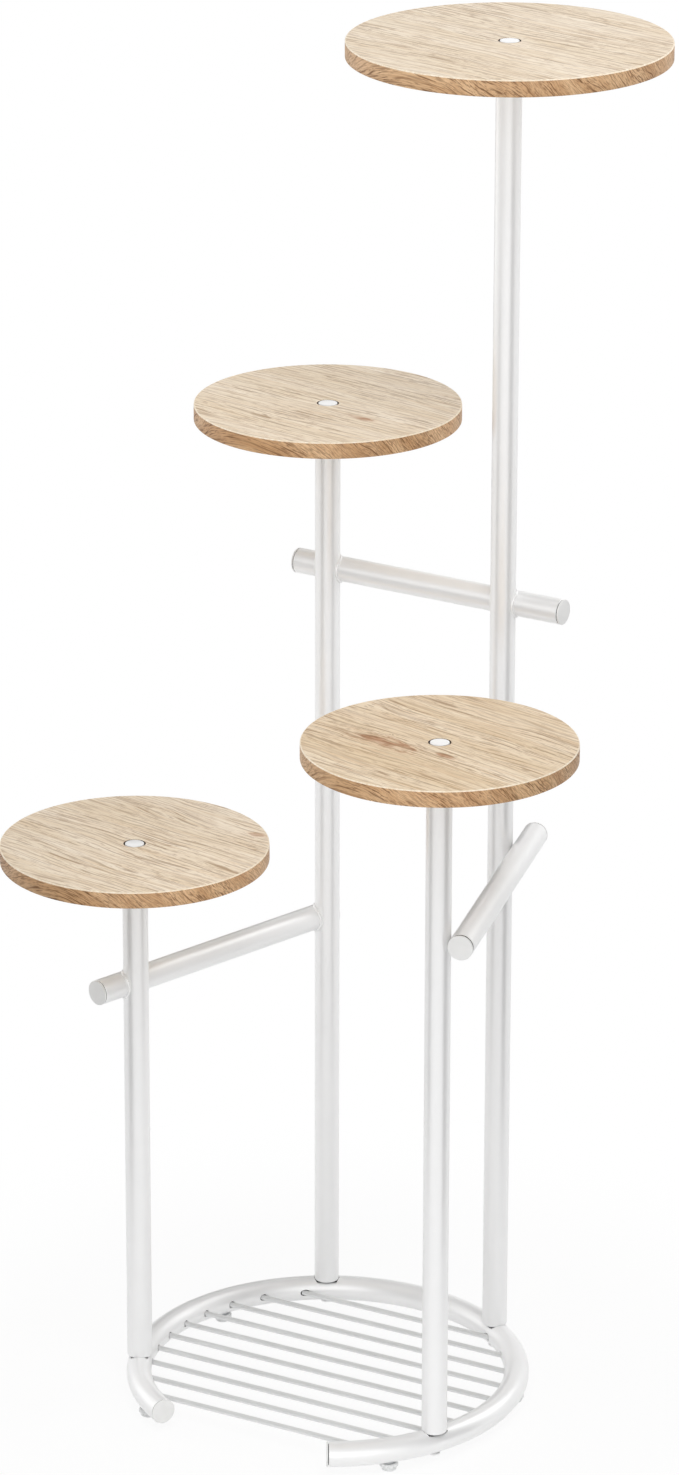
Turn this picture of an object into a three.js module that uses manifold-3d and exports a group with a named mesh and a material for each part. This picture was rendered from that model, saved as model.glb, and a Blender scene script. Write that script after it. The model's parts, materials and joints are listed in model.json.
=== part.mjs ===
// Tiered plant stand: an open ring of round tube on five levelling feet carries four posts of four
// heights, each with a round tray. Three crossbars tie the posts, and ten wires make a low shelf.
// Millimetres, +Z up. The origin is on the floor, under the middle of the stand's outer size.
import * as THREE from "three";
import { mergeVertices } from "three/addons/utils/BufferGeometryUtils.js";
import Module from "manifold-3d";

const wasm = await Module();
wasm.setup();

// ---------- Driving dimensions ----------

const SEAM = 0.3; // gap between two pieces that are welded, pressed or laid together

const TUBE_RADIUS = 9.5; // the 19 mm tube of the ring, posts and crossbars
const TUBE_WALL = 1.2;

const RING_RADIUS = 144; // centre line of the bent ring
const RING_CLEARANCE = 6; // floor to the underside of the ring
const RING_START_ANGLE = -90.3; // outer face of the front cap, degrees from +X
const RING_END_ANGLE = 211.2; // outer face of the left cap

const CAP_FLANGE = 1.5; // thickness of a tube cap outside the tube
const CAP_BEVEL = 0.3;
const CAP_SPIGOT = 6; // length pushed into the tube
const CAP_PLAY = 0.5; // round the spigot

const TRAY_THICKNESS = 12.5;
const TRAY_ARRIS = 0.8; // bevel on the rim's two edges
const SMALL_TRAY_RADIUS = 100;
const LARGE_TRAY_RADIUS = 118;

const POST_SEAT = 2.5; // depth of the flat seats in the ring's crown that the posts stand in
const TALL_POST = { name: "tall", angle: 26.7, traySurface: 1036.7, trayRadius: LARGE_TRAY_RADIUS };
const BACK_POST = { name: "back", angle: 90.5, traySurface: 741.3, trayRadius: SMALL_TRAY_RADIUS };
const FRONT_POST = { name: "front", angle: -56.5, traySurface: 569.5, trayRadius: SMALL_TRAY_RADIUS };
const LEFT_POST = { name: "left", angle: 176.4, traySurface: 441.6, trayRadius: SMALL_TRAY_RADIUS };

const SCREW_RADIUS = 3; // M6 bolts and foot studs
const SCREW_PLAY = 0.3; // round a bolt in a drilled hole
const THREAD_PLAY = 0.1; // round a screw in its thread
const NUT_LENGTH = 8; // nut discs welded inside the post ends
const SCREW_TIP = 2; // a screw's end past its nut
const HEAD_BEVEL = 0.3;
const TRAY_BOLT_HEAD_RADIUS = 7.4; // flat head, flush in a recess of the tray
const TRAY_BOLT_HEAD = 2;
const RECESS_PLAY = 0.7; // round the flush head
const POST_BOLT_HEAD_RADIUS = 4.5;
const POST_BOLT_HEAD = 2.2;

const WIRE_RADIUS = 2;
const WIRE_COUNT = 10;
const WIRE_PITCH = 23.8;
const WIRE_ANGLE = -29; // direction of the wires, degrees from +X
const FIRST_WIRE_OFFSET = 110; // ring's centre to the rearmost wire

const NOTCH_OFFSET = 6.8; // post axis to the axis of a bar that is notched round it
const UPPER_BAR = { height: 610.5, startReach: 31, endReach: 48 }; // reaches run past the post axes
const LOWER_BAR = { height: 328.7, startReach: 33, endReach: 0 };
const SIDE_BAR = { height: 417.5, startReach: 12.4, endReach: 34 };

const FOOT_ANGLES = [-71.5, -9, 55, 125, 199.5];
const FOOT_HEAD_RADIUS = 7;
const FOOT_HEAD = 3.2; // height of the ribbed head
const FOOT_RIBS = 10;
const FOOT_RIB_DEPTH = 0.8;
const FOOT_PAD_RADIUS = 5.5;
const FOOT_STUD = 14; // stud above the head
const INSERT_RADIUS = 4.5;
const INSERT_SHOULDER_RADIUS = 5.5; // blind side of the rivet nut
const INSERT_SHOULDER = 2;

const RING_STEPS = 40; // facets of the bend
const TUBE_SIDES = 16;
const TRAY_SIDES = 48;
const SCREW_SIDES = 12;
const WIRE_SIDES = 8;

// ---------- Values that follow ----------

const BORE_RADIUS = TUBE_RADIUS - TUBE_WALL;
const RING_AXIS = RING_CLEARANCE + TUBE_RADIUS; // height of the ring's centre line
const RING_TOP = RING_AXIS + TUBE_RADIUS;
const POST_FOOT = RING_TOP - POST_SEAT;
const CUT_RADIUS = TUBE_RADIUS + SEAM; // a tube with the gap that its neighbours keep
const CAP_REACH = SEAM + CAP_FLANGE; // tube end to the cap's outer face
const CAP_ANGLE = THREE.MathUtils.radToDeg(CAP_REACH / RING_RADIUS);
const HOLE_RADIUS = SCREW_RADIUS + SCREW_PLAY;
const THREAD_RADIUS = SCREW_RADIUS + THREAD_PLAY;
const TANGENT_OFFSET = 2 * TUBE_RADIUS + SEAM; // post axis to the axis of a bar laid against it
const SCREW_SEAT = RING_CLEARANCE - SEAM; // top of the heads that sit under the ring

const ALL_POSTS = [TALL_POST, BACK_POST, FRONT_POST, LEFT_POST];
for (const post of ALL_POSTS) {
  post.trayUnderside = post.traySurface - TRAY_THICKNESS;
  post.top = post.trayUnderside - SEAM;
  post.place = onRing(post.angle);
}

// ---------- Finishes ----------

const whiteCoat = new THREE.MeshStandardMaterial({ color: 0xf4f4f2, roughness: 0.45 });
const whitePlastic = new THREE.MeshStandardMaterial({ color: 0xf0f0ee, roughness: 0.55 });
const oakFace = new THREE.MeshStandardMaterial({ color: 0xdcbd95, roughness: 0.6 });
const zincSteel = new THREE.MeshStandardMaterial({ color: 0xb9bcbf, roughness: 0.4, metalness: 1 });

// ---------- Helpers ----------

/** Point of the ring's centre line, on the floor plan. */
function onRing(degrees) {
  const angle = THREE.MathUtils.degToRad(degrees);
  return new THREE.Vector3(RING_RADIUS * Math.cos(angle), RING_RADIUS * Math.sin(angle), 0);
}

/** Solid of revolution about +Z; the profile of [radius, height] points runs up the outside. */
function turned(profile, sides) {
  const points = profile.map(([radius, height]) => new THREE.Vector2(radius, height));
  return new THREE.LatheGeometry(points, sides).rotateX(Math.PI / 2);
}

/** Full round rod from one height to another. */
function rod(radius, bottom, top, sides) {
  const profile = [[0, bottom], [radius, bottom], [radius, top], [0, top]];
  return turned(profile, sides);
}

/** Round tube or ring from one height to another. */
function sleeve(outer, inner, bottom, top, sides) {
  const profile = [[inner, bottom], [outer, bottom], [outer, top], [inner, top], [inner, bottom]];
  return turned(profile, sides);
}

/** Screw with its shank up to z = 0 and a flat round head above. */
function screw(shank, headRadius, head) {
  const profile = [
    [0, -shank],
    [SCREW_RADIUS, -shank],
    [SCREW_RADIUS, 0],
    [headRadius, 0],
    [headRadius, head - HEAD_BEVEL],
    [headRadius - HEAD_BEVEL, head],
    [0, head],
  ];
  return turned(profile, TUBE_SIDES);
}

/** Adds a named piece to a group, standing at a point of the group's frame. */
function addPiece(group, name, geometry, material, place = new THREE.Vector3()) {
  const mesh = new THREE.Mesh(geometry, material);
  mesh.name = name;
  mesh.position.copy(place);
  group.add(mesh);
  return mesh;
}

/** A point of the floor plan, lifted to a height. */
function lifted(place, height) {
  return new THREE.Vector3(place.x, place.y, height);
}

/** Closed geometry as a solid that can be joined and cut, moved by a matrix. */
function solidOf(geometry, matrix = new THREE.Matrix4()) {
  const plain = geometry.index ? geometry.toNonIndexed() : geometry.clone();
  plain.deleteAttribute("normal");
  plain.deleteAttribute("uv");
  plain.applyMatrix4(matrix);
  const merged = mergeVertices(plain, 1e-4);
  const mesh = new wasm.Mesh({
    numProp: 3,
    vertProperties: merged.attributes.position.array,
    triVerts: new Uint32Array(merged.index.array),
  });
  return new wasm.Manifold(mesh);
}

/** Solid as a faceted geometry, moved by a matrix. */
function geometryOf(solid, matrix = new THREE.Matrix4()) {
  const mesh = solid.getMesh();
  const indexed = new THREE.BufferGeometry();
  indexed.setAttribute("position", new THREE.BufferAttribute(mesh.vertProperties, 3));
  indexed.setIndex(new THREE.BufferAttribute(mesh.triVerts, 1));
  const faceted = indexed.toNonIndexed().applyMatrix4(matrix);
  faceted.computeVertexNormals();
  return faceted;
}

/** Cuts solids, given in the stand's frame, out of a piece where it stands. */
function cut(mesh, cutters) {
  mesh.updateWorldMatrix(true, false);
  const whole = solidOf(mesh.geometry, mesh.matrixWorld);
  const left = cutters.reduce((solid, cutter) => solid.subtract(cutter), whole);
  mesh.geometry = geometryOf(left, mesh.matrixWorld.clone().invert());
}

/** Upright round cutter at a point of the floor plan. */
function uprightCutter(place, radius, bottom, top, sides) {
  const matrix = new THREE.Matrix4().makeTranslation(place.x, place.y, 0);
  return solidOf(rod(radius, bottom, top, sides), matrix);
}

// ---------- Ring ----------

const stand = new THREE.Group();

/** Centre line of the bent ring between two angles in degrees. */
class RingLine extends THREE.Curve {
  constructor(startAngle, endAngle) {
    super();
    this.startAngle = startAngle;
    this.endAngle = endAngle;
  }

  getPoint(t) {
    return lifted(onRing(THREE.MathUtils.lerp(this.startAngle, this.endAngle, t)), RING_AXIS);
  }
}

/** Adds a closed polygon with its corners on a circle to a shape or a hole. */
function roundOutline(path, radius, sides) {
  for (let i = 0; i <= sides; i += 1) {
    const angle = (i * 2 * Math.PI) / sides;
    const corner = [radius * Math.cos(angle), radius * Math.sin(angle)];
    if (i === 0) path.moveTo(...corner);
    else path.lineTo(...corner);
  }
  return path;
}

/** Bar bent along the ring's centre line, with a bore or without. */
function bentBar(outer, bore, startAngle, endAngle) {
  const outline = roundOutline(new THREE.Shape(), outer, TUBE_SIDES);
  if (bore > 0) outline.holes.push(roundOutline(new THREE.Path(), bore, TUBE_SIDES));
  const extrudePath = new RingLine(startAngle, endAngle);
  return new THREE.ExtrudeGeometry(outline, { steps: RING_STEPS, extrudePath });
}

/** Cap of a tube end, facing +Z; z = 0 is the tube's end face. */
function tubeCap() {
  const spigot = BORE_RADIUS - CAP_PLAY;
  const profile = [
    [0, -CAP_SPIGOT],
    [spigot, -CAP_SPIGOT],
    [spigot, SEAM],
    [TUBE_RADIUS, SEAM],
    [TUBE_RADIUS, CAP_REACH - CAP_BEVEL],
    [TUBE_RADIUS - CAP_BEVEL, CAP_REACH],
    [0, CAP_REACH],
  ];
  return turned(profile, TUBE_SIDES);
}

/** Adds a cap on the ring's tube end at an angle; side is -1 at the start and 1 at the end. */
function addRingCap(name, angle, side) {
  const cap = addPiece(stand, name, tubeCap(), whitePlastic, lifted(onRing(angle), RING_AXIS));
  const heading = THREE.MathUtils.degToRad(angle + side * 90);
  const outward = new THREE.Vector3(Math.cos(heading), Math.sin(heading), 0);
  cap.quaternion.setFromUnitVectors(new THREE.Vector3(0, 0, 1), outward);
}

const tubeStart = RING_START_ANGLE + CAP_ANGLE;
const tubeEnd = RING_END_ANGLE - CAP_ANGLE;
const ring = addPiece(stand, "base_ring", bentBar(TUBE_RADIUS, BORE_RADIUS, tubeStart, tubeEnd), whiteCoat);
addRingCap("ring_cap_front", tubeStart, -1);
addRingCap("ring_cap_left", tubeEnd, 1);

const drill = (angle, radius, top) => uprightCutter(onRing(angle), radius, 0, top, SCREW_SIDES);
const postHoles = ALL_POSTS.map((post) => drill(post.angle, HOLE_RADIUS, RING_TOP + SEAM));
const footHoles = FOOT_ANGLES.map((angle) => drill(angle, INSERT_RADIUS + SEAM, RING_AXIS));
const postSeats = ALL_POSTS.map((post) =>
  uprightCutter(post.place, CUT_RADIUS, POST_FOOT - SEAM, RING_TOP + SEAM, TUBE_SIDES),
);
cut(ring, [...postHoles, ...footHoles, ...postSeats]);

const ringCutter = solidOf(bentBar(CUT_RADIUS, 0, tubeStart, tubeEnd));

// ---------- Wire shelf ----------

/** Adds one wire, spanning the ring at a distance from the ring's centre. */
function addWire(number, offset) {
  const halfChord = Math.sqrt(RING_RADIUS ** 2 - offset ** 2);
  const geometry = rod(WIRE_RADIUS, -halfChord, halfChord, WIRE_SIDES).rotateY(Math.PI / 2);
  const heading = THREE.MathUtils.degToRad(WIRE_ANGLE);
  const place = new THREE.Vector3(-offset * Math.sin(heading), offset * Math.cos(heading), RING_AXIS);
  const name = "shelf_wire_" + String(number).padStart(2, "0");
  const wire = addPiece(stand, name, geometry, whiteCoat, place);
  wire.rotation.z = heading;
  cut(wire, [ringCutter]);
}

for (let i = 0; i < WIRE_COUNT; i += 1) addWire(i + 1, FIRST_WIRE_OFFSET - i * WIRE_PITCH);

// ---------- Posts with their nuts and bolts ----------

/** Adds a post, cut square and standing in its seat, with a nut in each end and the bolt from below. */
function addPost({ name, place, top }) {
  const tube = sleeve(TUBE_RADIUS, BORE_RADIUS, 0, top - POST_FOOT, TUBE_SIDES);
  addPiece(stand, "post_" + name, tube, whiteCoat, lifted(place, POST_FOOT));
  const nut = sleeve(BORE_RADIUS - SEAM, THREAD_RADIUS, 0, NUT_LENGTH, TUBE_SIDES);
  const footNutHeight = RING_TOP + SEAM;
  addPiece(stand, "post_foot_nut_" + name, nut, zincSteel, lifted(place, footNutHeight));
  addPiece(stand, "post_top_nut_" + name, nut.clone(), zincSteel, lifted(place, top - NUT_LENGTH));
  const shank = footNutHeight + NUT_LENGTH + SCREW_TIP - SCREW_SEAT;
  const bolt = screw(shank, POST_BOLT_HEAD_RADIUS, POST_BOLT_HEAD).rotateX(Math.PI);
  addPiece(stand, "post_bolt_" + name, bolt, whiteCoat, lifted(place, SCREW_SEAT));
}

// ---------- Trays with their bolts ----------

/** Adds a round tray with a recessed bolt hole, and the white bolt that holds it on its post. */
function addTray({ name, place, trayRadius, trayUnderside, traySurface, top }) {
  const recessRadius = TRAY_BOLT_HEAD_RADIUS + RECESS_PLAY;
  const recessFloor = TRAY_THICKNESS - TRAY_BOLT_HEAD - SEAM;
  const board = turned(
    [
      [HOLE_RADIUS, 0],
      [trayRadius - TRAY_ARRIS, 0],
      [trayRadius, TRAY_ARRIS],
      [trayRadius, TRAY_THICKNESS - TRAY_ARRIS],
      [trayRadius - TRAY_ARRIS, TRAY_THICKNESS],
      [recessRadius, TRAY_THICKNESS],
      [recessRadius, recessFloor],
      [HOLE_RADIUS, recessFloor],
      [HOLE_RADIUS, 0],
    ],
    TRAY_SIDES,
  );
  addPiece(stand, "tray_" + name, board, oakFace, lifted(place, trayUnderside));
  const seat = traySurface - TRAY_BOLT_HEAD;
  const shank = seat - (top - NUT_LENGTH - SCREW_TIP);
  const bolt = screw(shank, TRAY_BOLT_HEAD_RADIUS, TRAY_BOLT_HEAD);
  addPiece(stand, "tray_bolt_" + name, bolt, whiteCoat, lifted(place, seat));
}

for (const post of ALL_POSTS) {
  addPost(post);
  addTray(post);
}

// ---------- Crossbars ----------

/**
 * Adds a level tube along two posts, with a cap in each end. offset is the distance from the line of
 * the posts' axes to the bar's axis, positive on the left of the way from the first to the second.
 */
function addCrossbar(name, first, second, { height, startReach, endReach }, offset) {
  const along = second.place.clone().sub(first.place);
  const bar = new THREE.Group();
  bar.rotation.z = Math.atan2(along.y, along.x);
  bar.position.copy(lifted(first.place, height));
  stand.add(bar);

  const start = CAP_REACH - startReach;
  const end = along.length() + endReach - CAP_REACH;
  const geometry = sleeve(TUBE_RADIUS, BORE_RADIUS, start, end, TUBE_SIDES).rotateY(Math.PI / 2);
  const tube = addPiece(bar, "crossbar_" + name, geometry, whiteCoat, new THREE.Vector3(0, offset, 0));
  const startCap = addCap(bar, "crossbar_" + name + "_cap_1", start, offset, -Math.PI / 2);
  const endCap = addCap(bar, "crossbar_" + name + "_cap_2", end, offset, Math.PI / 2);

  if (Math.abs(offset) < TANGENT_OFFSET) {
    const reach = CUT_RADIUS + SEAM;
    const notches = [first, second].map((post) =>
      uprightCutter(post.place, CUT_RADIUS, height - reach, height + reach, TUBE_SIDES),
    );
    for (const mesh of [tube, startCap, endCap]) cut(mesh, notches);
  }
}

/** Adds a tube cap on a crossbar, turned to face out of its end. */
function addCap(bar, name, x, y, turn) {
  const cap = addPiece(bar, name, tubeCap(), whitePlastic, new THREE.Vector3(x, y, 0));
  cap.rotation.y = turn;
  return cap;
}

addCrossbar("upper", BACK_POST, TALL_POST, UPPER_BAR, NOTCH_OFFSET);
addCrossbar("lower", LEFT_POST, BACK_POST, LOWER_BAR, NOTCH_OFFSET);
addCrossbar("side", FRONT_POST, TALL_POST, SIDE_BAR, -TANGENT_OFFSET);

// ---------- Levelling feet ----------

/** Foot with a pad on the floor, a ribbed head to turn by hand and a stud; z = 0 is the floor. */
function footGeometry() {
  const ribs = new THREE.Shape();
  for (let i = 0; i < 2 * FOOT_RIBS; i += 1) {
    const radius = FOOT_HEAD_RADIUS - (i % 2) * FOOT_RIB_DEPTH;
    const angle = (i * Math.PI) / FOOT_RIBS;
    ribs[i ? "lineTo" : "moveTo"](radius * Math.cos(angle), radius * Math.sin(angle));
  }
  const headBottom = SCREW_SEAT - FOOT_HEAD;
  const head = new THREE.ExtrudeGeometry(ribs, { depth: FOOT_HEAD, bevelEnabled: false });
  head.translate(0, 0, headBottom);
  const padTop = headBottom + FOOT_HEAD / 2;
  const pad = rod(FOOT_PAD_RADIUS, 0, padTop, SCREW_SIDES);
  const stud = rod(SCREW_RADIUS, padTop, SCREW_SEAT + FOOT_STUD, SCREW_SIDES);
  return geometryOf(solidOf(head).add(solidOf(pad)).add(solidOf(stud)));
}

/** Threaded insert in the ring's underside; its shoulder bears on the inside of the tube wall. */
function insertGeometry() {
  const wallInside = RING_AXIS - Math.sqrt(BORE_RADIUS ** 2 - INSERT_SHOULDER_RADIUS ** 2);
  const shoulder = wallInside + SEAM;
  const crown = shoulder + INSERT_SHOULDER;
  const profile = [
    [THREAD_RADIUS, RING_CLEARANCE],
    [INSERT_RADIUS, RING_CLEARANCE],
    [INSERT_RADIUS, shoulder],
    [INSERT_SHOULDER_RADIUS, shoulder],
    [INSERT_SHOULDER_RADIUS, crown],
    [THREAD_RADIUS, crown],
    [THREAD_RADIUS, RING_CLEARANCE],
  ];
  return turned(profile, SCREW_SIDES);
}

FOOT_ANGLES.forEach((angle, i) => {
  const place = onRing(angle);
  addPiece(stand, "foot_insert_" + (i + 1), insertGeometry(), zincSteel, place);
  addPiece(stand, "levelling_foot_" + (i + 1), footGeometry(), whitePlastic, place);
});

// ---------- Frame of the part ----------

stand.updateMatrixWorld(true);
const outerSize = new THREE.Box3().setFromObject(stand, true);
const middle = outerSize.getCenter(new THREE.Vector3());
stand.position.set(-middle.x, -middle.y, 0);

export default stand;
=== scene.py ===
# %% [markdown]
# # A tiered plant stand with four round trays
# The stand is an open ring of white steel tube on five screw-in feet. Four posts of four heights
# stand on the ring, each with a round oak-faced tray bolted to its top. Three crossbars tie the
# posts together, and ten wires make a low shelf inside the ring.
#
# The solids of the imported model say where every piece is. Each cell below builds one kind of piece
# again as a fine mesh, in the same place, and gives it the finish of the real thing.

# %% Load the frame
import json
import math

import bpy
import bmesh
from mathutils import Matrix, Vector

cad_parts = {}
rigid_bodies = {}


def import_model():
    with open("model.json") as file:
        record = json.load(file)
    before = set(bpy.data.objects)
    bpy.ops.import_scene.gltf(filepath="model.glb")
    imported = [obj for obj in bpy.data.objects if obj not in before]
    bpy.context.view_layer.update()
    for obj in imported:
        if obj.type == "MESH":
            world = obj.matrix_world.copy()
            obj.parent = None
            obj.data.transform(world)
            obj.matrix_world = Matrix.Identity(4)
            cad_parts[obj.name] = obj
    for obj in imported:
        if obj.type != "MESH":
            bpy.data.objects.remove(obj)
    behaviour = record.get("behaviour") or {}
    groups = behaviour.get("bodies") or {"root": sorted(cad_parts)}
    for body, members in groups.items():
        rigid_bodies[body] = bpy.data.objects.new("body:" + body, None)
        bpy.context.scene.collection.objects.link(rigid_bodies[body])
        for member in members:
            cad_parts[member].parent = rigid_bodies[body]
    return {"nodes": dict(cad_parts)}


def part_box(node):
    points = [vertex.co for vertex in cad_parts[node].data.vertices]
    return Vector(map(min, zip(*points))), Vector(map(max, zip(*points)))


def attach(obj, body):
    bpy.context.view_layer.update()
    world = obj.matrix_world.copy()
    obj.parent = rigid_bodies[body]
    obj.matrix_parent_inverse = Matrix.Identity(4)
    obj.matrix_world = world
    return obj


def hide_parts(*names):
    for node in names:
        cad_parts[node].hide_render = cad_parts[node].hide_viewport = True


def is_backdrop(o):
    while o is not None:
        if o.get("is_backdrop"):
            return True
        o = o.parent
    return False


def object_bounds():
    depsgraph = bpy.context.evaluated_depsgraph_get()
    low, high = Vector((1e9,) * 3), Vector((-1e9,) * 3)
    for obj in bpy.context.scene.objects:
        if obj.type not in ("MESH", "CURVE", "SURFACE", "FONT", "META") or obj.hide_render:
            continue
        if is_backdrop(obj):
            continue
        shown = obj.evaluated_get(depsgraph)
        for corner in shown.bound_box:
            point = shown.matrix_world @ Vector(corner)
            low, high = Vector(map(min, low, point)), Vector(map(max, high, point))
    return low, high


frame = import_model()
cad_low, cad_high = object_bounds()
print("height in mm:", round((cad_high[2] - cad_low[2]) * 1000, 1))

# %% [markdown]
# ## Where things are
# Blender counts in metres here, so a helper turns millimetres into metres. The posts stand on the
# ring's centre line, so the middle of the ring is found from one post: it is one ring radius back
# along that post's direction.

# %% Sizes shared by the pieces
def mm(value):
    """Millimetres as metres."""
    return value / 1000


TUBE_RADIUS = mm(9.5)
RING_RADIUS = mm(144)
TALL_POST_ANGLE = math.radians(26.7)
SEAM = mm(0.3)
POSTS = ("tall", "back", "front", "left")


def middle(node):
    """Middle of a solid's box."""
    low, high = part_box(node)
    return (Vector(low) + Vector(high)) / 2


def level(node, end):
    """Height of the bottom (0) or the top (1) of a solid."""
    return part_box(node)[end][2]


def on_circle(centre, radius, angle, height=0.0):
    """Point of a level circle."""
    return Vector((centre.x + radius * math.cos(angle), centre.y + radius * math.sin(angle), height))


ring_centre = on_circle(middle("post_tall"), -RING_RADIUS, TALL_POST_ANGLE)
ring_axis = (level("base_ring", 0) + level("base_ring", 1)) / 2
print("ring centre in mm:", [round(v * 1000, 2) for v in ring_centre])
print("the ring's tube runs", round(ring_axis * 1000, 2), "mm above the floor")

# %% [markdown]
# ## Camera
# The photograph was taken from almost five metres away with a long lens, looking down by 20
# degrees. A long lens keeps the posts nearly parallel. Its length below is for a frame whose long
# side is 36 mm, and the camera's place was worked out from the ring, the posts and the tray
# ellipses.

# %% Camera at the photograph's viewpoint
CAMERA_FROM_RING = Vector((mm(7.9), mm(-4191.5), mm(2068.3)))
CAMERA_PITCH = math.radians(20.17)
CAMERA_ROLL = math.radians(0.12)
LENS = 148.4


def new_object(name, data):
    """Object in the scene."""
    thing = bpy.data.objects.new(name, data)
    bpy.context.scene.collection.objects.link(thing)
    return thing


camera_data = bpy.data.cameras.new("camera")
camera_data.sensor_fit = "VERTICAL"
camera_data.sensor_height = 36
camera_data.lens = LENS
camera_data.clip_end = 200
camera = new_object("camera", camera_data)
look_down = Matrix.Rotation(math.pi / 2 - CAMERA_PITCH, 4, "X") @ Matrix.Rotation(CAMERA_ROLL, 4, "Z")
camera.matrix_world = Matrix.Translation(ring_centre + CAMERA_FROM_RING) @ look_down
bpy.context.scene.camera = camera
bpy.context.scene.view_settings.view_transform = "Standard"
print("camera stands", round(CAMERA_FROM_RING.length, 2), "m from the ring")

# %% [markdown]
# ## Colours and nodes
# Colours are written as the hex values that a paint chart or a screen gives. A shader works in
# linear light, so one function converts them. One more function adds a shader node: it sets the
# node's properties and sockets, makes its links and gives back an output, so that a material reads
# as a short recipe.

# %% Colour and node helpers
def colour(code):
    """sRGB hex value as linear RGBA."""
    channels = [int(code[i : i + 2], 16) / 255 for i in (1, 3, 5)]
    linear = [c / 12.92 if c <= 0.04045 else ((c + 0.055) / 1.055) ** 2.4 for c in channels]
    return (*linear, 1.0)


def add(tree, kind, inputs=(), output=0, **settings):
    """Adds a node and gives one of its outputs. Inputs are values or other nodes' outputs, in a
    list from the first socket on, or in a dictionary by the sockets' names or numbers."""
    node = tree.nodes.new("ShaderNode" + kind)
    for name, value in settings.items():
        setattr(node, name, value)
    for key, value in inputs.items() if isinstance(inputs, dict) else enumerate(inputs):
        if isinstance(value, bpy.types.NodeSocket):
            tree.links.new(value, node.inputs[key])
        else:
            node.inputs[key].default_value = value
    return node.outputs[output] if node.outputs else None


# a Mix node takes colours in its sockets 6 and 7, and gives the mix from its output 2
COLOUR_MIX = {"output": 2, "data_type": "RGBA"}


def new_material(name):
    """Empty node material and its tree."""
    material = bpy.data.materials.new(name)
    material.use_nodes = True
    material.node_tree.nodes.clear()
    return material, material.node_tree


print("linear value of mid grey #808080:", round(colour("#808080")[0], 3))

# %% [markdown]
# ## Studio
# A satin white tube on white shows its roundness only through what it reflects. So the studio is
# the one a photographer would build: a white backdrop and floor, soft lamps, a dim ceiling and grey
# felt screens. The world is the room. Rays from the camera and from gloss see it white, the rest
# get a soft fill, and for all of them it darkens overhead.

# %% World
BACKDROP_STRENGTH = 1.0
FILL_STRENGTH = 0.8
CEILING_STRENGTH = 0.3
CEILING_STARTS, CEILING_FULL = 0.35, 0.8


def seen_directly(tree):
    """1 for a ray from the camera, or one that a glossy or clear surface sends on."""
    path = add(tree, "LightPath").node.outputs
    seen = path["Is Camera Ray"]
    for kind in ("Is Glossy Ray", "Is Transmission Ray"):
        seen = add(tree, "Math", [seen, path[kind]], operation="MAXIMUM")
    return seen


def build_world():
    """White room with a dim ceiling; a direction's height is 0 when level and 1 straight up."""
    world = bpy.data.worlds.new("studio")
    world.use_nodes = True
    tree = world.node_tree
    tree.nodes.clear()
    direction = add(tree, "TexCoord", output="Generated")
    height = add(tree, "SeparateXYZ", [direction], "Z")
    walls = add(tree, "MapRange", [seen_directly(tree), 0, 1, FILL_STRENGTH, BACKDROP_STRENGTH])
    dome = [height, CEILING_STARTS, CEILING_FULL, walls, CEILING_STRENGTH]
    strength = add(tree, "MapRange", dome, interpolation_type="SMOOTHSTEP")
    white = add(tree, "Background", {"Color": colour("#FFFFFF"), "Strength": strength})
    add(tree, "OutputWorld", [white])
    bpy.context.scene.world = world
    return world


print("world:", build_world().name)

# %% [markdown]
# ## Floor
# The floor is pale paint that takes the stand's shadow. The camera and gloss see it mixed with pure
# white: nine tenths near the stand, which leaves the shadow faint, and all of it farther away. The
# other rays see the paint alone, so the white doesn't light the stand from below.

# %% Floor
FLOOR_SIZE = 120.0
SHADOW_REACH = 0.22
FADE_REACH = 0.5
NEAR_WHITE = 0.9


def floor_material():
    """Pale paint that fades to white away from the stand."""
    material, tree = new_material("pale_floor")
    place = add(tree, "NewGeometry", output="Position")
    distance = add(tree, "VectorMath", [place], "Value", operation="LENGTH")
    ramp = [distance, SHADOW_REACH, FADE_REACH, NEAR_WHITE, 1.0]
    fade = add(tree, "MapRange", ramp, interpolation_type="SMOOTHSTEP")
    share = add(tree, "Math", [seen_directly(tree), fade], operation="MULTIPLY")
    paint = add(tree, "BsdfDiffuse", {"Color": colour("#F4F4F4")})
    white = add(tree, "Emission", {"Color": colour("#FFFFFF"), "Strength": BACKDROP_STRENGTH})
    add(tree, "OutputMaterial", [add(tree, "MixShader", [share, paint, white])])
    return material


def add_panel(name, width, height, matrix, material):
    """Flat stage panel, such as the floor or a screen."""
    mesh = bpy.data.meshes.new(name)
    corners = [(x * width / 2, y * height / 2, 0) for x, y in ((-1, -1), (1, -1), (1, 1), (-1, 1))]
    mesh.from_pydata(corners, [], [(0, 1, 2, 3)])
    mesh.materials.append(material)
    panel = new_object(name, mesh)
    panel.matrix_world = matrix
    panel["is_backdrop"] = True
    return panel


floor = add_panel("floor", FLOOR_SIZE, FLOOR_SIZE, Matrix.Identity(4), floor_material())
print(floor.name, "fades to white", FADE_REACH, "m from the stand's axis")

# %% [markdown]
# ## Screens and lamps
# The screens beside the stand draw a soft grey line down both flanks of each post, and the one
# behind it draws the line along the tubes that run away from the camera. They are hidden from the
# camera. A large soft lamp stands in front and two behind, which light the rims. The high lamp has
# a polarising sheet, which keeps its glare off the tubes, so that their upper sides mirror the dim
# ceiling.

# %% Screens and lamps
STAND_MIDDLE = (0, 0, 0.5)


def from_front(angle, distance, height):
    """Place at an angle in degrees from the front, left negative, and a distance from the axis."""
    turn = math.radians(angle)
    return (distance * math.sin(turn), -distance * math.cos(turn), height)


def aim(place, target):
    """Matrix at a place whose -Z axis points at a target."""
    turn = (Vector(target) - Vector(place)).to_track_quat("-Z", "Y").to_matrix().to_4x4()
    return Matrix.Translation(Vector(place)) @ turn


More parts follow.
